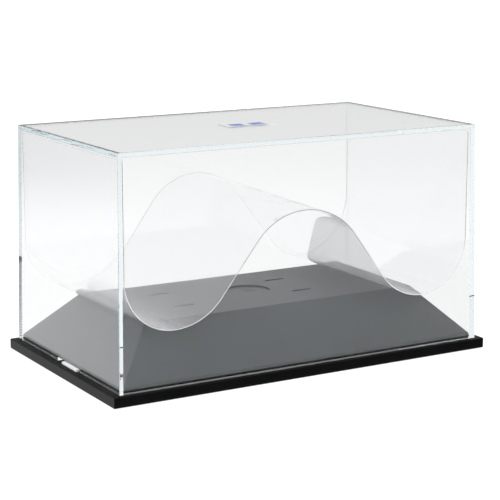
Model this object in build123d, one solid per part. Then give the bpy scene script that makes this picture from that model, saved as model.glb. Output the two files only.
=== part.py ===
from build123d import *
import math
import os

# Collector display case: a clear cemented cover stands on a black plinth, round a grey stage
# for the model, and a springy clear sheet is bent into a wave between the stage and the cover.
# Millimetres. +X runs along the long side, -Y is the front, +Z is up, and the origin is the
# middle of the footprint on the surface that the case stands on.

# Clear cover, measured outside at its foot
cover_length = 330.0
cover_depth = 192.0
cover_height = 180.0
pane_thickness = 4.0
wall_lean = 1.0  # degrees that each wall leans in, so the cover slides on easily
arris = 0.4  # polished corner round the top pane

# Notch in the foot of the left pane, and the white tab on the plinth that fills it
notch_length = 41.0
notch_height = 2.8
notch_shift = -4.5  # towards the back, from the middle of the pane
tab_side_gap = 6.8  # on average, between each end of the tab and the notch
tab_headroom = 1.0
tab_reach = 1.3  # how far the tab sticks out beyond the pane
tab_plate_gap = 0.1
tab_shift = -3.6  # towards the back, from the middle of the notch

# Plinth, locating plate and feet
plinth_overhang_ends = 6.5
plinth_overhang_sides = 3.5
plinth_height = 8.5
plinth_chamfer = 0.5
plate_height = 2.2
plate_play = 0.6  # each side, between the plate and the inside of the panes
foot_diameter = 12.0
foot_height = 1.5
foot_inset = 16.0  # from the plinth's edges to the middle of a foot
foot_rounding = 0.4

# Grey stage, a hollow moulding that drops over low bars on the locating plate
stage_play = 0.6  # each side, between the skirt and the inside of the panes
stage_height = 39.5
stage_slope_run = 35.7
stage_skirt = 2.2
stage_wall = 2.0
stage_rounding = 0.8
bar_length = 30.0
bar_width = 4.0
bar_height = 1.6
bar_play = 0.5

# Slots for straps or bolts, and the round recess, in the top of the stage
slot_length = 18.5
slot_width = 3.2
slot_left_x = -71.5
slot_right_x = 39.0
slot_row_y = 22.0
recess_diameter = 37.0
recess_depth = 1.2
recess_rim = 2.5  # solid ring under the top, outside the recess
dimple_diameter = 15.0
dimple_depth = 1.1

# Bent clear sheet
sheet_thickness = 0.6
sheet_rest_gap = 0.3  # over the stage, where the valleys of the wave rest
sheet_side_gap = 0.6  # each end, between the sheet and the panes it springs against
sheet_edge_gap = 0.8  # each side, at the narrow top of the cover
sheet_top_gap = 2.0
crest_gap_front = 52.6  # between the crest and the top pane, at the front edge
crest_gap_back = 47.6
left_outer_radius = 41.5  # of the left valley, towards the pane
left_inner_radius = 52.0  # of the left valley, towards the crest
left_straight_run = 51.0  # between the left valley and the crest
right_outer_radius_front = 43.5
right_outer_radius_back = 53.0
right_inner_radius_front = 48.0
right_inner_radius_back = 31.0
right_straight_run_front = 47.5
right_straight_run_back = 63.5
right_valley_lift_back = 2.5  # the back of the right valley stands off the stage

# Clear sticker on the top pane
sticker_length = 44.0
sticker_width = 22.0
sticker_thickness = 0.2
sticker_corner = 2.0

# Heights and half sizes that follow
plinth_top = foot_height + plinth_height
cover_top = plinth_top + cover_height
ceiling = cover_top - pane_thickness
plate_top = plinth_top + plate_height
stage_top = plate_top + stage_height
sheet_top = ceiling - sheet_top_gap
half_length = cover_length / 2
half_depth = cover_depth / 2
inner_half_length = half_length - pane_thickness
inner_half_depth = half_depth - pane_thickness
plinth_length = cover_length + 2 * plinth_overhang_ends
plinth_depth = cover_depth + 2 * plinth_overhang_sides
plate_length = 2 * (inner_half_length - plate_play)
plate_depth = 2 * (inner_half_depth - plate_play)
stage_length = 2 * (inner_half_length - stage_play)
stage_depth = 2 * (inner_half_depth - stage_play)
tab_length = notch_length - 2 * tab_side_gap
tab_height = notch_height - tab_headroom


def lean_at(z):
    """How far a wall has leaned in at height z."""
    return (z - plinth_top) * math.tan(math.radians(wall_lean))


def slab(corners, direction, thickness):
    """A pane: the flat face through the corners, pushed along a direction."""
    face = Face(Wire.make_polygon([Vector(*c) for c in corners]))
    return extrude(face, amount=thickness, dir=direction)


def base_plinth():
    """Solid black board with a small chamfer round its top and bottom."""
    board = Box(plinth_length, plinth_depth, plinth_height)
    board = chamfer(board.faces().sort_by(Axis.Z)[-1].edges(), plinth_chamfer)
    board = chamfer(board.faces().sort_by(Axis.Z)[0].edges(), plinth_chamfer)
    return Pos(0, 0, foot_height + plinth_height / 2) * board


def locating_plate():
    """Thin plate that keeps the cover in place, with four bars that keep the stage in place."""
    plate = Pos(0, 0, plinth_top + plate_height / 2) * Box(plate_length, plate_depth, plate_height)
    across = stage_length / 2 - stage_wall - bar_play - bar_width / 2
    along = stage_depth / 2 - stage_wall - bar_play - bar_width / 2
    bar_z = plate_top + bar_height / 2
    for side in (-1, 1):
        plate += Pos(side * across, 0, bar_z) * Box(bar_width, bar_length, bar_height)
        plate += Pos(0, side * along, bar_z) * Box(bar_length, bar_width, bar_height)
    return plate


def foot(side, end):
    """Soft disc stuck under a corner of the plinth."""
    disc = Cylinder(foot_diameter / 2, foot_height)
    disc = fillet(disc.faces().sort_by(Axis.Z)[0].edges(), foot_rounding)
    x = side * (plinth_length / 2 - foot_inset)
    y = end * (plinth_depth / 2 - foot_inset)
    return Pos(x, y, foot_height / 2) * disc


def notch_tab():
    """Small white tab on the plinth, in the notch of the left pane."""
    outer_x = -half_length - tab_reach
    inner_x = -plate_length / 2 - tab_plate_gap
    tab = Box(inner_x - outer_x, tab_length, tab_height)
    return Pos((outer_x + inner_x) / 2, notch_shift + tab_shift, plinth_top + tab_height / 2) * tab


def display_stage():
    """Hollow stage with sloping sides, a short skirt, four slots and a round recess."""
    slope_height = stage_height - stage_skirt
    taper = math.degrees(math.atan(stage_slope_run / slope_height))
    skirt = extrude(Rectangle(stage_length, stage_depth), amount=stage_skirt)
    slope = Pos(0, 0, stage_skirt) * extrude(
        Rectangle(stage_length, stage_depth), amount=slope_height, taper=taper
    )
    block = skirt + slope
    floor = block.faces().sort_by(Axis.Z)[0]
    shell = offset(block, amount=-stage_wall, openings=floor)
    top_rim = shell.faces().sort_by(Axis.Z)[-1].outer_wire().edges()
    shell = fillet(top_rim, stage_rounding)

    pan_radius = recess_diameter / 2
    under = recess_depth + stage_wall
    shell += Pos(0, 0, stage_height - under / 2) * Cylinder(pan_radius + recess_rim, under)
    shell -= Pos(0, 0, stage_height - recess_depth / 2) * Cylinder(pan_radius, recess_depth)
    dimple_radius = (dimple_diameter**2 / 4 + dimple_depth**2) / (2 * dimple_depth)
    dimple_z = stage_height - recess_depth - dimple_depth + dimple_radius
    shell -= Pos(0, 0, dimple_z) * Sphere(dimple_radius)

    slot = extrude(SlotOverall(slot_length, slot_width), amount=3 * stage_wall, both=True)
    for x in (slot_left_x, slot_right_x):
        for y in (-slot_row_y, slot_row_y):
            shell -= Pos(x, y, stage_height) * slot
    return Pos(0, 0, plate_top) * shell


def wave_half(crest_gap, outer_radius, inner_radius, straight_run, valley_lift, shift):
    """One half of the wave, drawn as the right one, from the crest to the end by the pane.

    Half a thickness to each side of the middle of the sheet, its shift, lie its two faces.
    All runs are tangent: the crest's arc, a straight, the two arcs of the valley, a straight.
    """
    valley_z = stage_top + sheet_rest_gap + sheet_thickness / 2 + valley_lift
    crest_z = ceiling - crest_gap - sheet_thickness / 2
    rise = crest_z - valley_z
    end_x = inner_half_length - lean_at(sheet_top) - sheet_side_gap - sheet_thickness / 2
    valley_x = end_x - outer_radius

    both_radii = (valley_x**2 + rise**2 - straight_run**2) / (2 * rise)
    crest_radius = both_radii - inner_radius
    centres_rise = both_radii - rise
    centres_apart = math.hypot(valley_x, centres_rise)
    steepness = math.asin(both_radii / centres_apart) - math.atan2(centres_rise, valley_x)
    steep = math.degrees(steepness)

    crest = CenterArc((0, crest_z - crest_radius), crest_radius + shift, 90, -steep)
    inner = CenterArc((valley_x, valley_z + inner_radius), inner_radius - shift, 270 - steep, steep)
    outer = CenterArc((valley_x, valley_z + outer_radius), outer_radius - shift, 270, 90)
    fall = Line(crest @ 1, inner @ 0)
    upright = Line(outer @ 1, (end_x - shift, sheet_top))
    return [crest, fall, inner, outer, upright]


def wave_section(y, *shape):
    """Section through one half of the sheet, at a distance behind the middle."""
    upper = wave_half(*shape, sheet_thickness / 2)
    lower = wave_half(*shape, -sheet_thickness / 2)
    end = Line(upper[-1] @ 1, lower[-1] @ 1)
    middle = Line(lower[0] @ 0, upper[0] @ 0)
    return Plane.XZ.offset(-y) * make_face(Curve() + upper + lower + [end, middle])


def bent_sheet():
    """Clear sheet, bent into a wave as deep as the inside of the cover at its narrow top.

    It is a loft from its front edge to its back edge, which bend a little differently.
    """
    left_bends = (left_outer_radius, left_inner_radius, left_straight_run, 0)
    right_bends_front = (
        right_outer_radius_front,
        right_inner_radius_front,
        right_straight_run_front,
        0,
    )
    right_bends_back = (
        right_outer_radius_back,
        right_inner_radius_back,
        right_straight_run_back,
        right_valley_lift_back,
    )
    y = inner_half_depth - lean_at(sheet_top) - sheet_edge_gap
    left_front = wave_section(-y, crest_gap_front, *left_bends)
    left_back = wave_section(y, crest_gap_back, *left_bends)
    right_front = wave_section(-y, crest_gap_front, *right_bends_front)
    right_back = wave_section(y, crest_gap_back, *right_bends_back)
    left = mirror(loft([left_front, left_back], ruled=True), about=Plane.YZ)
    return left + loft([right_front, right_back], ruled=True)


def side_pane(side):
    """Left or right wall. It runs the full depth, and the left one has the notch in its foot."""
    rows = ((plinth_top, -1), (plinth_top, 1), (ceiling, 1), (ceiling, -1))
    corners = [(side * (half_length - lean_at(z)), y * (half_depth - lean_at(z)), z) for z, y in rows]
    pane = slab(corners, (-side, 0, 0), pane_thickness)
    if side < 0:
        notch = Box(4 * pane_thickness, notch_length, 2 * notch_height)
        pane -= Pos(-half_length, notch_shift, plinth_top) * notch
    return pane


def long_pane(side):
    """Front or back wall, cemented between the side walls."""
    rows = ((plinth_top, -1), (plinth_top, 1), (ceiling, 1), (ceiling, -1))
    corners = [
        (x * (inner_half_length - lean_at(z)), side * (half_depth - lean_at(z)), z) for z, x in rows
    ]
    return slab(corners, (0, -side, 0), pane_thickness)


def top_pane():
    """Lid pane, cemented on the upper edges of the four walls."""
    length = cover_length - 2 * lean_at(ceiling)
    depth = cover_depth - 2 * lean_at(ceiling)
    pane = extrude(Rectangle(length, depth), amount=pane_thickness, taper=wall_lean)
    pane = chamfer(pane.faces().sort_by(Axis.Z)[-1].edges(), arris)
    return Pos(0, 0, ceiling) * pane


def top_sticker():
    """Thin clear sticker in the middle of the top pane."""
    outline = RectangleRounded(sticker_length, sticker_width, sticker_corner)
    return Pos(0, 0, cover_top) * extrude(outline, amount=sticker_thickness)


nodes = {
    "base_plinth": base_plinth(),
    "locating_plate": locating_plate(),
    "notch_tab": notch_tab(),
    "display_stage": display_stage(),
    "bent_sheet": bent_sheet(),
    "cover_front_pane": long_pane(-1),
    "cover_back_pane": long_pane(1),
    "cover_left_pane": side_pane(-1),
    "cover_right_pane": side_pane(1),
    "cover_top_pane": top_pane(),
    "top_sticker": top_sticker(),
}
for end, end_word in ((-1, "front"), (1, "back")):
    for side, side_word in ((-1, "left"), (1, "right")):
        nodes[f"foot_{end_word}_{side_word}"] = foot(side, end)

os.makedirs("parts", exist_ok=True)
for name, solid in nodes.items():
    export_step(solid, f"parts/{name}.step")
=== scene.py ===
import math

import bmesh
import bpy
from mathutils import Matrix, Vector


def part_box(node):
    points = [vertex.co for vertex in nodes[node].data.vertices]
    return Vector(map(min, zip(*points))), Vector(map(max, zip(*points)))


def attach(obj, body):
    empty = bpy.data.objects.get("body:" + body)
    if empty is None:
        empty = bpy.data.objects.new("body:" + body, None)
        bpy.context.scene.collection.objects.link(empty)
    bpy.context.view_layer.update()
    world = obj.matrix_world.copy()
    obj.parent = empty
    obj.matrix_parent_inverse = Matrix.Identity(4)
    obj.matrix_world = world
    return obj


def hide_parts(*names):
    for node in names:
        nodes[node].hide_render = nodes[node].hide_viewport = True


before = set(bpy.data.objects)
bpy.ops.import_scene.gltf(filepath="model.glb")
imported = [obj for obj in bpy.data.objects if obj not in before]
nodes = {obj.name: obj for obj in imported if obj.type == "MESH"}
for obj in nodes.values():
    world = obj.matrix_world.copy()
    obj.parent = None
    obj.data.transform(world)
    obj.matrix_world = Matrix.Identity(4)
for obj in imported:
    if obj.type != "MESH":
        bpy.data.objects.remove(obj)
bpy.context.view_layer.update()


# Camera, floor and light.
# The case stands on a white floor in a light tent. The tent is bright overhead and to the left,
# and dim in front on the right, so the long front pane shows no glare.

CAMERA_PLACE = Vector((-0.66413, -1.13225, 0.35843))
CAMERA_AZIMUTH = math.radians(30.5036)
CAMERA_ELEVATION = math.radians(11.7526)
CAMERA_LENS = 116.45

lens = bpy.data.cameras.new("camera")
lens.lens = CAMERA_LENS
lens.sensor_width = 36.0
lens.clip_end = 60.0
camera = bpy.data.objects.new("camera", lens)
camera.location = CAMERA_PLACE
aim = Vector((
    math.sin(CAMERA_AZIMUTH) * math.cos(CAMERA_ELEVATION),
    math.cos(CAMERA_AZIMUTH) * math.cos(CAMERA_ELEVATION),
    -math.sin(CAMERA_ELEVATION),
))
camera.rotation_euler = aim.to_track_quat("-Z", "Y").to_euler()
bpy.context.scene.collection.objects.link(camera)
bpy.context.scene.camera = camera
bpy.context.scene.view_settings.view_transform = "Standard"

# Light that enters a clear edge is thrown many times between the faces of the pane.
LIGHT_TURNS = 64
paths = bpy.context.scene.cycles
paths.max_bounces = paths.glossy_bounces = paths.transmission_bounces = LIGHT_TURNS


class Wire:
    """One socket of a shader or geometry tree. Operators on it add Math nodes."""

    def __init__(self, tree, socket):
        self.tree = tree
        self.socket = socket

    def math(self, operation, *others):
        values = {k + 1: other for k, other in enumerate(others)}
        return self.tree.add("ShaderNodeMath", {0: self, **values}, operation=operation)[0]

    def __add__(self, other):
        return self.math("ADD", other)

    __radd__ = __add__

    def __sub__(self, other):
        return self.math("SUBTRACT", other)

    def __rsub__(self, other):
        return self.tree.add("ShaderNodeMath", {0: other, 1: self}, operation="SUBTRACT")[0]

    def __mul__(self, other):
        return self.math("MULTIPLY", other)

    __rmul__ = __mul__

    def __pow__(self, other):
        return self.math("POWER", other)

    def __neg__(self):
        return self * -1.0

    def abs(self):
        return self.math("ABSOLUTE")

    def above(self, edge):
        return self.math("GREATER_THAN", edge)

    def below(self, edge):
        return self.math("LESS_THAN", edge)

    def smooth(self, low, high, to_low=0.0, to_high=1.0):
        return self.tree.add(
            "ShaderNodeMapRange", {"Value": self, 1: low, 2: high, 3: to_low, 4: to_high},
            interpolation_type="SMOOTHSTEP",
        )[0]


class Node:
    """One node. Its outputs are read by name or by number."""

    def __init__(self, tree, node):
        self.tree = tree
        self.node = node

    def __getitem__(self, key):
        return Wire(self.tree, self.node.outputs[key])


class Tree:
    """A node tree that is filled in by add(): a node's type, its sockets and its settings."""

    def __init__(self, tree):
        self.tree = tree
        tree.nodes.clear()

    def add(self, kind, inputs=None, **settings):
        node = self.tree.nodes.new(kind)
        for name, value in settings.items():
            setattr(node, name, value)
        for key, value in (inputs or {}).items():
            if isinstance(value, Wire):
                self.tree.links.new(value.socket, node.inputs[key])
            else:
                node.inputs[key].default_value = value
        return Node(self, node)


class Finish(Tree):
    """A material with a Principled shader."""

    def __init__(self, name):
        self.material = bpy.data.materials.new(name)
        self.material.use_nodes = True
        super().__init__(self.material.node_tree)
        self.place = self.add("ShaderNodeTexCoord")["Object"]

    def noise(self, size, detail=2.0, stretch=(1.0, 1.0, 1.0)):
        """Noise whose blobs are about size metres across, from 0 to 1."""
        mapped = self.add("ShaderNodeMapping", {"Vector": self.place, "Scale": stretch})["Vector"]
        scale = 1.0 / size
        return self.add("ShaderNodeTexNoise", {"Vector": mapped, "Scale": scale, "Detail": detail})[0]

    def mix(self, amount, first, second):
        return self.add("ShaderNodeMix", {0: amount, 6: first, 7: second}, data_type="RGBA")[2]

    def bump(self, height, strength, distance):
        return self.add("ShaderNodeBump", {
            "Height": height, "Strength": strength, "Distance": distance})[0]

    def surface(self, **inputs):
        named = {key.replace("_", " "): value for key, value in inputs.items()}
        self.output(self.add("ShaderNodeBsdfPrincipled", named)[0])

    def output(self, shader, volume=None):
        inside = {"Volume": volume} if volume else {}
        self.add("ShaderNodeOutputMaterial", {"Surface": shader, **inside})


def colour(red, green, blue):
    return (red, green, blue, 1.0)


# The floor is white paper, brighter to the eye than in the clear panes, where its far end is painted
# dim. In reflections it is painted dark in front of the case, a painted shade.
FLOOR_HALF = 12.0
FLOOR_WHITE = 1.2
FLOOR_THROUGH, FLOOR_FAR = 1.07, 0.92
FAR_STARTS, FAR_ENDS = 0.2, 1.3
BACK_RIGHT = (0.507, 0.861)
MIRRORED_WHITE = 0.9
FRONT_DARK, FRONT_LIT = -0.112, -0.098
MIRROR_NEAR, MIRROR_FAR, MIRROR_FAR_SHARE = 0.7, 1.3, 0.1
PAPER_SHARE = 0.84
PAPER_GREY = 0.8

floor_mesh = bpy.data.meshes.new("floor")
floor_mesh.from_pydata(
    [(-FLOOR_HALF, -FLOOR_HALF, 0), (FLOOR_HALF, -FLOOR_HALF, 0),
     (FLOOR_HALF, FLOOR_HALF, 0), (-FLOOR_HALF, FLOOR_HALF, 0)], [], [(0, 1, 2, 3)])
floor = bpy.data.objects.new("floor", floor_mesh)
bpy.context.scene.collection.objects.link(floor)
white_floor = Finish("white_floor")
axes = white_floor.add("ShaderNodeSeparateXYZ", {0: white_floor.place})
from_middle = (axes["X"] * axes["X"] + axes["Y"] * axes["Y"]) ** 0.5
# Painted shade in reflections: in front of the case the floor is painted dark, and it fades farther away.
dim_front = (axes["Y"].smooth(FRONT_DARK, FRONT_LIT, 0.0, MIRRORED_WHITE)
             * from_middle.smooth(MIRROR_NEAR, MIRROR_FAR, 1.0, MIRROR_FAR_SHARE))
path = white_floor.add("ShaderNodeLightPath")
first_sight = path["Diffuse Depth"].below(0.5)
through = path["Is Transmission Ray"] * first_sight
mirrored = path["Is Glossy Ray"] * (1.0 - path["Is Transmission Ray"]) * first_sight
# Painted shade: seen through the panes, the floor is painted dimmer towards its far end.
away = axes["X"] * BACK_RIGHT[0] + axes["Y"] * BACK_RIGHT[1]
white = white_floor.add("ShaderNodeEmission", {"Strength": (
    path["Is Camera Ray"] * FLOOR_WHITE + mirrored * dim_front
    + through * away.smooth(FAR_STARTS, FAR_ENDS, FLOOR_THROUGH, FLOOR_FAR))})
paper = white_floor.add("ShaderNodeBsdfDiffuse", {"Color": colour(PAPER_GREY, PAPER_GREY, PAPER_GREY)})
shown = path["Is Camera Ray"] * PAPER_SHARE + through + mirrored
white_floor.output(white_floor.add("ShaderNodeMixShader", {0: shown, 1: paper[0], 2: white[0]})[0])
floor_mesh.materials.append(white_floor.material)

FRONT_LIGHT, BACK_LIGHT = 0.46, 0.62
LEFT_GAIN = 1.5
OVERHEAD_LIGHT = 2.1

tent = bpy.data.worlds.new("light_tent")
tent.use_nodes = True
bpy.context.scene.world = tent
air = Tree(tent.node_tree)
direction = air.add("ShaderNodeTexCoord")["Generated"]
towards = air.add("ShaderNodeSeparateXYZ", {0: direction})
from_back = towards["Y"].smooth(-0.5, 0.6, FRONT_LIGHT, BACK_LIGHT)
around = from_back * towards["X"].smooth(-0.9, 0.3, LEFT_GAIN, 1.0)
overhead = towards["Z"].smooth(0.25, 0.85)
ray = air.add("ShaderNodeLightPath")
seen = ray["Is Camera Ray"] + ray["Is Transmission Ray"] * ray["Diffuse Depth"].below(0.5)
strength = seen + (1.0 - seen) * (around * (1.0 - overhead) + overhead * OVERHEAD_LIGHT)
sky = air.add("ShaderNodeBackground", {"Color": colour(1.0, 1.0, 1.0), "Strength": strength})
air.add("ShaderNodeOutputWorld", {"Surface": sky[0]})


def panel_light(name, place, target, size, power):
    lamp = bpy.data.lights.new(name, "AREA")
    lamp.shape = "RECTANGLE"
    lamp.size, lamp.size_y = size
    lamp.energy = power
    holder = bpy.data.objects.new(name, lamp)
    holder.location = place
    holder.rotation_euler = (Vector(target) - Vector(place)).to_track_quat("-Z", "Y").to_euler()
    bpy.context.scene.collection.objects.link(holder)


panel_light("key_overhead", (-0.5, 0.2, 1.5), (0, 0, 0.05), (1.2, 1.0), 7.0)
panel_light("left_fill", (-1.6, 0.1, 0.6), (0, 0, 0.1), (1.0, 0.9), 4.0)


# Black plinth and locating plate.
# A flat board of black plastic, cut and lightly chamfered, with a thin plate of the same on top
# that keeps the cover and the stage in place. The two are glued together.

black_plastic = Finish("black_plastic")
cloudy = black_plastic.noise(0.035, 3.0)
specks = black_plastic.noise(0.0006, 1.0)
facing_up = black_plastic.add("ShaderNodeSeparateXYZ", {
    0: black_plastic.add("ShaderNodeNewGeometry")["Normal"]})["Z"].above(0.5)
black, worn_black = colour(0.003, 0.003, 0.0032), colour(0.006, 0.006, 0.0065)
black_plastic.surface(
    Base_Color=black_plastic.mix(cloudy, black, worn_black),
    Roughness=0.3 + 0.1 * cloudy + 0.3 * facing_up,
    Specular_IOR_Level=0.12,
    Normal=black_plastic.bump(specks, 0.25, 0.00008),
)
for name in ("base_plinth", "locating_plate"):
    nodes[name].data.materials.clear()
    nodes[name].data.materials.append(black_plastic.material)


# White tab.
# A small plain white plastic block on the plinth, which fills the notch in the left pane's foot.

white_plastic = Finish("white_plastic")
mottle = white_plastic.noise(0.004, 2.0)
white_plastic.surface(
    Base_Color=white_plastic.mix(mottle, colour(0.74, 0.74, 0.735), colour(0.82, 0.82, 0.81)),
    Roughness=0.5 + 0.1 * mottle,
    Normal=white_plastic.bump(white_plastic.noise(0.0008), 0.2, 0.00005),
)
nodes["notch_tab"].data.materials.clear()
nodes["notch_tab"].data.materials.append(white_plastic.material)


# Feet.
# Four soft black rubber discs, stuck under the corners of the plinth with their own adhesive.

rubber = Finish("foot_rubber")
dust = rubber.noise(0.0015, 3.0)
rubber.surface(
    Base_Color=rubber.mix(dust, colour(0.02, 0.02, 0.02), colour(0.045, 0.045, 0.044)),
    Roughness=0.75 + 0.15 * dust,
    Normal=rubber.bump(rubber.noise(0.0004), 0.3, 0.00006),
)
for name in nodes:
    if name.startswith("foot_"):
        nodes[name].data.materials.clear()
        nodes[name].data.materials.append(rubber.material)


# Grey display stage.
# A hollow moulding of grey plastic with a fine eroded grain. It drops over the bars of the
# locating plate, and its four slots take the screws or straps that hold a model.

grey_plastic = Finish("grey_plastic")
tone = grey_plastic.noise(0.06, 2.0)
grain = grey_plastic.noise(0.0007, 1.0)
dark_grey, light_grey = colour(0.121, 0.131, 0.139), colour(0.161, 0.174, 0.184)
grey_plastic.surface(
    Base_Color=grey_plastic.mix(0.55 * grain + 0.45 * tone, dark_grey, light_grey),
    Roughness=0.42 + 0.1 * grain,
    Normal=grey_plastic.bump(grain, 0.35, 0.00012),
)
nodes["display_stage"].data.materials.clear()
nodes["display_stage"].data.materials.append(grey_plastic.material)


# Bent clear sheet.
# One thin clear plastic sheet, cut to a rectangle and sprung into a wave: its two ends stand up
# along the panes, it rests on the stage left and right, and it rises to a crest between. The lower
# part of its cut edge, where the dark stage is behind it, has a painted glow and a painted highlight.

SHEET_THICKNESS = 0.0006
SHEET_ALONG = 420
SHEET_ACROSS = 24
REST_GAP = 0.0003
BEND_STEPS = 40
OUTER_BEND_STEPS = 60
GLOW_STARTS, GLOW_ENDS = 0.1, 0.078

sheet_low, sheet_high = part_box("bent_sheet")
stage_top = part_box("display_stage")[1].z
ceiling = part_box("cover_top_pane")[0].z
valley_floor = stage_top + REST_GAP + SHEET_THICKNESS / 2
end_x = sheet_high.x - SHEET_THICKNESS / 2


def wave_half(crest_gap, outer_radius, inner_radius, straight_run, valley_lift):
    """Points along the middle of one half of the wave, from the crest to the upright end."""
    valley_z = valley_floor + valley_lift
    crest_z = ceiling - crest_gap - SHEET_THICKNESS / 2
    climb = crest_z - valley_z
    valley_x = end_x - outer_radius
    both_radii = (valley_x**2 + climb**2 - straight_run**2) / (2 * climb)
    crest_radius = both_radii - inner_radius
    drop = both_radii - climb
    steep = math.asin(both_radii / math.hypot(valley_x, drop)) - math.atan2(drop, valley_x)
    points = []

    def bend(x, z, radius, turn):
        """A point of the valley's bend, on its outer side or, with a minus radius, its inner one."""
        points.append((x + radius * math.sin(turn), z + abs(radius) * (1 - math.cos(turn))))

    for k in range(BEND_STEPS + 1):
        turn = steep * k / BEND_STEPS
        points.append((crest_radius * math.sin(turn), crest_z - crest_radius * (1 - math.cos(turn))))
    for k in range(1, BEND_STEPS + 1):
        bend(valley_x, valley_z, -inner_radius, steep * (1 - k / BEND_STEPS))
    for k in range(1, OUTER_BEND_STEPS + 1):
        bend(valley_x, valley_z, outer_radius, math.pi / 2 * k / OUTER_BEND_STEPS)
    points.append((end_x, sheet_high.z))
    return points


def wave_edge(name, y, left, right):
    """The line that one edge of the sheet follows, from its left end to its right end."""
    line = [(-x, z) for x, z in reversed(wave_half(*left))] + wave_half(*right)[1:]
    spline = bpy.data.curves.new(name, "CURVE")
    spline.dimensions = "3D"
    run = spline.splines.new("POLY")
    run.points.add(len(line) - 1)
    for point, (x, z) in zip(run.points, line):
        point.co = (x, y, z, 1.0)
    edge = bpy.data.objects.new(name, spline)
    bpy.context.scene.collection.objects.link(edge)
    return edge


# After the crest's gap to the top pane: outer and inner radius, straight run, lift of the valley.
left_bends = (0.0415, 0.052, 0.051, 0.0)
right_bends_front = (0.0435, 0.048, 0.0475, 0.0)
right_bends_back = (0.053, 0.031, 0.0635, 0.0025)
crest_gap_front, crest_gap_back = 0.0526, 0.0476
front_edge = wave_edge("sheet_front_edge", sheet_low.y,
                       (crest_gap_front, *left_bends), (crest_gap_front, *right_bends_front))
back_edge = wave_edge("sheet_back_edge", sheet_high.y,
                      (crest_gap_back, *left_bends), (crest_gap_back, *right_bends_back))

clear_sheet = Finish("clear_sheet")
ripple = clear_sheet.noise(0.05, 1.0, (0.6, 1.0, 0.6))
clear_sheet.surface(
    Base_Color=colour(0.965, 0.968, 0.975),
    Roughness=0.02 + 0.03 * clear_sheet.noise(0.02, 2.0),
    IOR=1.5,
    Transmission_Weight=1.0,
    Normal=clear_sheet.bump(ripple, 0.15, 0.0006),
)
sheet_edge = Finish("clear_sheet_edge")
height = sheet_edge.add("ShaderNodeSeparateXYZ", {0: sheet_edge.place})["Z"]
# Painted glow: low on the sheet the cut edge glows and is painted light; higher up it is plain grey.
painted_glow_fade = height.smooth(GLOW_ENDS, GLOW_STARTS)
plain_edge_grey = sheet_edge.mix(sheet_edge.noise(0.01), colour(0.40, 0.40, 0.42), colour(0.52, 0.52, 0.54))
# The light Base Color and the Emission low down are a painted highlight and a painted glow.
sheet_edge.surface(
    Base_Color=sheet_edge.mix(painted_glow_fade, colour(0.9, 0.91, 0.92), plain_edge_grey),
    Emission_Color=sheet_edge.mix(painted_glow_fade, colour(0.9, 0.92, 0.94), colour(0.0, 0.0, 0.0)),
    Emission_Strength=0.3,
    Roughness=0.35,
    IOR=1.5,
)

wave = bpy.data.node_groups.new("wave_of_sheet", "GeometryNodeTree")
for label, kind in (("Front Edge", "Object"), ("Back Edge", "Object"), ("Thickness", "Float"),
                    ("Along", "Int"), ("Across", "Int"), ("Face", "Material")):
    wave.interface.new_socket(label, in_out="INPUT", socket_type="NodeSocket" + kind)
wave.interface.new_socket("Geometry", in_out="OUTPUT", socket_type="NodeSocketGeometry")
loft = Tree(wave)
given = loft.add("NodeGroupInput")
grid = loft.add("GeometryNodeMeshGrid", {"Size X": 1.0, "Size Y": 1.0, "Vertices X": given["Along"],
                                         "Vertices Y": given["Across"]})
cell = loft.add("ShaderNodeSeparateXYZ", {0: loft.add("GeometryNodeInputPosition")[0]})
samples = []
for label in ("Front Edge", "Back Edge"):
    source = loft.add("GeometryNodeObjectInfo", {0: given[label]})["Geometry"]
    sampled = loft.add("GeometryNodeSampleCurve", {
        "Curves": source, "Factor": cell["X"] + 0.5}, mode="FACTOR")
    samples.append(sampled["Position"])
along = loft.add("ShaderNodeMix", {
    0: cell["Y"] + 0.5, 4: samples[0], 5: samples[1]}, data_type="VECTOR")[1]
middle = loft.add("GeometryNodeSetPosition", {"Geometry": grid["Mesh"], "Position": along})[0]
outward = loft.add("GeometryNodeInputNormal")[0]
half = given["Thickness"] * 0.5
lower = loft.add("GeometryNodeSetPosition", {
    "Geometry": middle,
    "Offset": loft.add("ShaderNodeVectorMath", {0: outward, "Scale": -half}, operation="SCALE")[0]})[0]
raised = loft.add("GeometryNodeExtrudeMesh", {
    "Mesh": lower, "Offset": outward, "Offset Scale": given["Thickness"],
    "Individual": False}, mode="FACES")
under = loft.add("GeometryNodeFlipFaces", {0: lower})[0]
joined = loft.add("GeometryNodeJoinGeometry")
for part in (raised["Mesh"], under):
    wave.links.new(part.socket, joined.node.inputs[0])
merged = loft.add("GeometryNodeMergeByDistance", {"Geometry": joined[0], "Distance": 1e-6})[0]
whole = loft.add("GeometryNodeRealizeInstances", {0: merged})[0]
faced = loft.add("GeometryNodeSetMaterial", {"Geometry": whole, "Material": given["Face"]})[0]
loft.add("NodeGroupOutput", {"Geometry": faced})


def from_tree(name, tree, values):
    """A plain mesh object made by a geometry tree, with the named inputs set."""
    carrier = bpy.data.objects.new(name, bpy.data.meshes.new(name))
    bpy.context.scene.collection.objects.link(carrier)
    modifier = carrier.modifiers.new("shape", "NODES")
    modifier.node_group = tree
    for item in tree.interface.items_tree:
        if item.item_type == "SOCKET" and item.in_out == "INPUT" and item.name in values:
            modifier[item.identifier] = values[item.name]
    bpy.context.view_layer.update()
    seen_by = bpy.context.evaluated_depsgraph_get()
    mesh = bpy.data.meshes.new_from_object(carrier.evaluated_get(seen_by), depsgraph=seen_by)
    carrier.modifiers.clear()
    carrier.data = mesh
    return carrier


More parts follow.
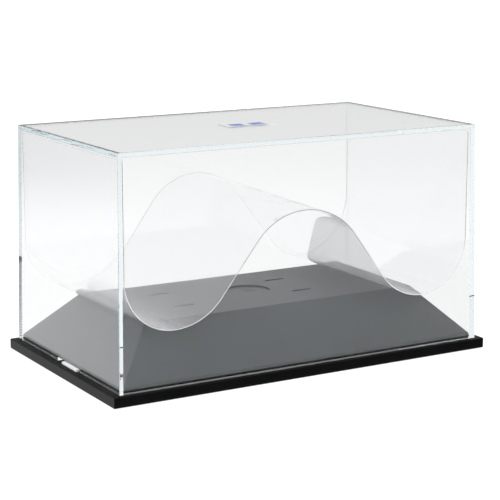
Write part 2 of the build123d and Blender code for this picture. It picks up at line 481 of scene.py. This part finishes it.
bent_sheet = from_tree("bent_sheet_clear", wave, {
    "Front Edge": front_edge, "Back Edge": back_edge, "Thickness": SHEET_THICKNESS,
    "Along": SHEET_ALONG, "Across": SHEET_ACROSS, "Face": clear_sheet.material})
for edge in (front_edge, back_edge):
    bpy.data.objects.remove(edge)
shape = bmesh.new()
shape.from_mesh(bent_sheet.data)
bmesh.ops.recalc_face_normals(shape, faces=shape.faces)
for face in shape.faces:
    at_side = abs(face.normal.y) > 0.9
    at_end = abs(face.calc_center_median().z - sheet_high.z) < 1e-5
    face.material_index = 1 if at_side or at_end else 0
    face.smooth = not (at_side or at_end)
for edge in shape.edges:
    kinds = {face.material_index for face in edge.link_faces}
    edge.smooth = len(kinds) == 1
bent_sheet.data.materials.clear()
bent_sheet.data.materials.append(clear_sheet.material)
bent_sheet.data.materials.append(sheet_edge.material)
shape.to_mesh(bent_sheet.data)
shape.free()
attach(bent_sheet, "sheet")
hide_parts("bent_sheet")


# Clear cover.
# Five panes of clear acrylic, sawn and polished, and cemented edge to edge with solvent. The side
# panes run the full depth, the front and back fit between them, and the top lies on all four. The
# cement leaves no air in the joints, so they are one clear body here.

PANE_THICKNESS = 0.004
LEAN = math.tan(math.radians(1.0))
FOOT_GAP = 0.00003
ARRIS = 0.00022
NOTCH_BACK = 0.016
NOTCH_FRONT = -0.025
NOTCH_HEIGHT = 0.0028
TINT_DENSITY = 2.4

acrylic = Finish("clear_acrylic")
smear = acrylic.noise(0.08, 2.0)
clear = acrylic.add("ShaderNodeBsdfPrincipled", {
    "Base Color": acrylic.mix(smear, colour(0.992, 0.997, 0.997), colour(1.0, 1.0, 1.0)),
    "Roughness": 0.003 + 0.006 * smear, "IOR": 1.49, "Transmission Weight": 1.0})
tint = acrylic.add("ShaderNodeVolumeAbsorption", {
    "Color": colour(0.74, 0.86, 0.89), "Density": TINT_DENSITY})
acrylic.output(clear[0], tint[0])

foot_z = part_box("cover_front_pane")[0].z
lid_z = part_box("cover_top_pane")[1].z
half_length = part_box("cover_right_pane")[1].x
half_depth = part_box("cover_back_pane")[1].y

shape = bmesh.new()
corners = ((-1, -1), (1, -1), (1, 1), (-1, 1))


def ring(z, inset):
    """Four corners of the cover at a height, a distance inside its outer faces."""
    shrink = inset + (z - foot_z) * LEAN
    length, depth = half_length - shrink, half_depth - shrink
    return [shape.verts.new((x * length, y * depth, z)) for x, y in corners]


def notch_corners(inset):
    """The notch's outline in the foot of the left pane, from the front to the back."""
    sole, top = foot_z + FOOT_GAP, foot_z + NOTCH_HEIGHT
    outline = ((NOTCH_FRONT, sole), (NOTCH_FRONT, top), (NOTCH_BACK, top), (NOTCH_BACK, sole))
    return [shape.verts.new((-(half_length - inset - (z - foot_z) * LEAN), y, z)) for y, z in outline]


foot_outer, foot_inner = ring(foot_z + FOOT_GAP, 0), ring(foot_z + FOOT_GAP, PANE_THICKNESS)
lid_outer, ceiling_inner = ring(lid_z, 0), ring(ceiling, PANE_THICKNESS)
notch_outer, notch_inner = notch_corners(0), notch_corners(PANE_THICKNESS)
shape.faces.new(lid_outer)
shape.faces.new(ceiling_inner)
for k in range(3):
    shape.faces.new((foot_outer[k], foot_outer[k + 1], lid_outer[k + 1], lid_outer[k]))
    shape.faces.new((foot_inner[k], foot_inner[k + 1], ceiling_inner[k + 1], ceiling_inner[k]))
    shape.faces.new((foot_outer[k], foot_outer[k + 1], foot_inner[k + 1], foot_inner[k]))
    shape.faces.new((notch_outer[k], notch_outer[k + 1], notch_inner[k + 1], notch_inner[k]))
shape.faces.new((lid_outer[3], lid_outer[0], foot_outer[0], *notch_outer, foot_outer[3]))
shape.faces.new((ceiling_inner[3], ceiling_inner[0], foot_inner[0], *notch_inner, foot_inner[3]))
shape.faces.new((foot_outer[0], notch_outer[0], notch_inner[0], foot_inner[0]))
shape.faces.new((foot_outer[3], notch_outer[3], notch_inner[3], foot_inner[3]))
bmesh.ops.recalc_face_normals(shape, faces=shape.faces)
bmesh.ops.bevel(shape, geom=list(shape.edges), offset=ARRIS, segments=2, profile=0.5, affect="EDGES")
bmesh.ops.recalc_face_normals(shape, faces=shape.faces)
cover_mesh = bpy.data.meshes.new("cover_clear")
shape.to_mesh(cover_mesh)
shape.free()
cover_mesh.materials.append(acrylic.material)
cover = bpy.data.objects.new("cover_clear", cover_mesh)
bpy.context.scene.collection.objects.link(cover)
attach(cover, "cover")
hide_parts("cover_front_pane", "cover_back_pane", "cover_left_pane", "cover_right_pane",
            "cover_top_pane")


# Clear sticker.
# A small clear film with rounded corners, stuck in the middle of the top pane. It has a little
# plain print in blue: two blocks over a thin rule.

FILM_GAP = 0.00002
FILM_CORNER = 0.002
CORNER_STEPS = 6
BLOCK_INNER_END, BLOCK_OUTER_END = 0.0035, 0.0155
BLOCK_MIDDLE_Y, BLOCK_HALF_DEPTH = 0.0015, 0.0045
RULE_MIDDLE_Y, RULE_HALF_DEPTH = -0.0062, 0.0009

film_low, film_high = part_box("top_sticker")

film = Finish("sticker_film")
axes = film.add("ShaderNodeSeparateXYZ", {0: film.place})
worn = film.noise(0.002, 2.0)
sideways = axes["X"].abs()
blocks = (sideways.above(BLOCK_INNER_END) * sideways.below(BLOCK_OUTER_END)
          * (axes["Y"] - BLOCK_MIDDLE_Y).abs().below(BLOCK_HALF_DEPTH))
rule = (sideways.below(BLOCK_OUTER_END)
        * (axes["Y"] - RULE_MIDDLE_Y).abs().below(RULE_HALF_DEPTH))
clear_film = film.add("ShaderNodeBsdfPrincipled", {
    "Base Color": colour(0.985, 0.99, 0.995), "Roughness": 0.02, "IOR": 1.45, "Transmission Weight": 1.0})
ink = film.add("ShaderNodeBsdfPrincipled", {
    "Base Color": film.mix(worn, colour(0.016, 0.055, 0.30), colour(0.03, 0.085, 0.36)),
    "Roughness": 0.25 + 0.1 * worn})
printed = film.add("ShaderNodeMixShader", {
    0: blocks.math("MAXIMUM", rule), 1: clear_film[0], 2: ink[0]})
film.output(printed[0])

shape = bmesh.new()
outline = []
for corner in range(4):
    turn = math.pi / 2 * corner
    middle_x = (film_high.x - FILM_CORNER) * (1 if corner in (0, 3) else -1)
    middle_y = (film_high.y - FILM_CORNER) * (1 if corner in (0, 1) else -1)
    for k in range(CORNER_STEPS + 1):
        angle = turn + math.pi / 2 * k / CORNER_STEPS
        outline.append(shape.verts.new((middle_x + FILM_CORNER * math.cos(angle),
                                        middle_y + FILM_CORNER * math.sin(angle), film_low.z + FILM_GAP)))
sole = shape.faces.new(outline)
raised_film = bmesh.ops.extrude_face_region(shape, geom=[sole])["geom"]
for part in raised_film:
    if isinstance(part, bmesh.types.BMVert):
        part.co.z = film_high.z
bmesh.ops.recalc_face_normals(shape, faces=shape.faces)
film_mesh = bpy.data.meshes.new("top_sticker_film")
shape.to_mesh(film_mesh)
shape.free()
film_mesh.materials.append(film.material)
sticker = bpy.data.objects.new("top_sticker_film", film_mesh)
bpy.context.scene.collection.objects.link(sticker)
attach(sticker, "cover")
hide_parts("top_sticker")
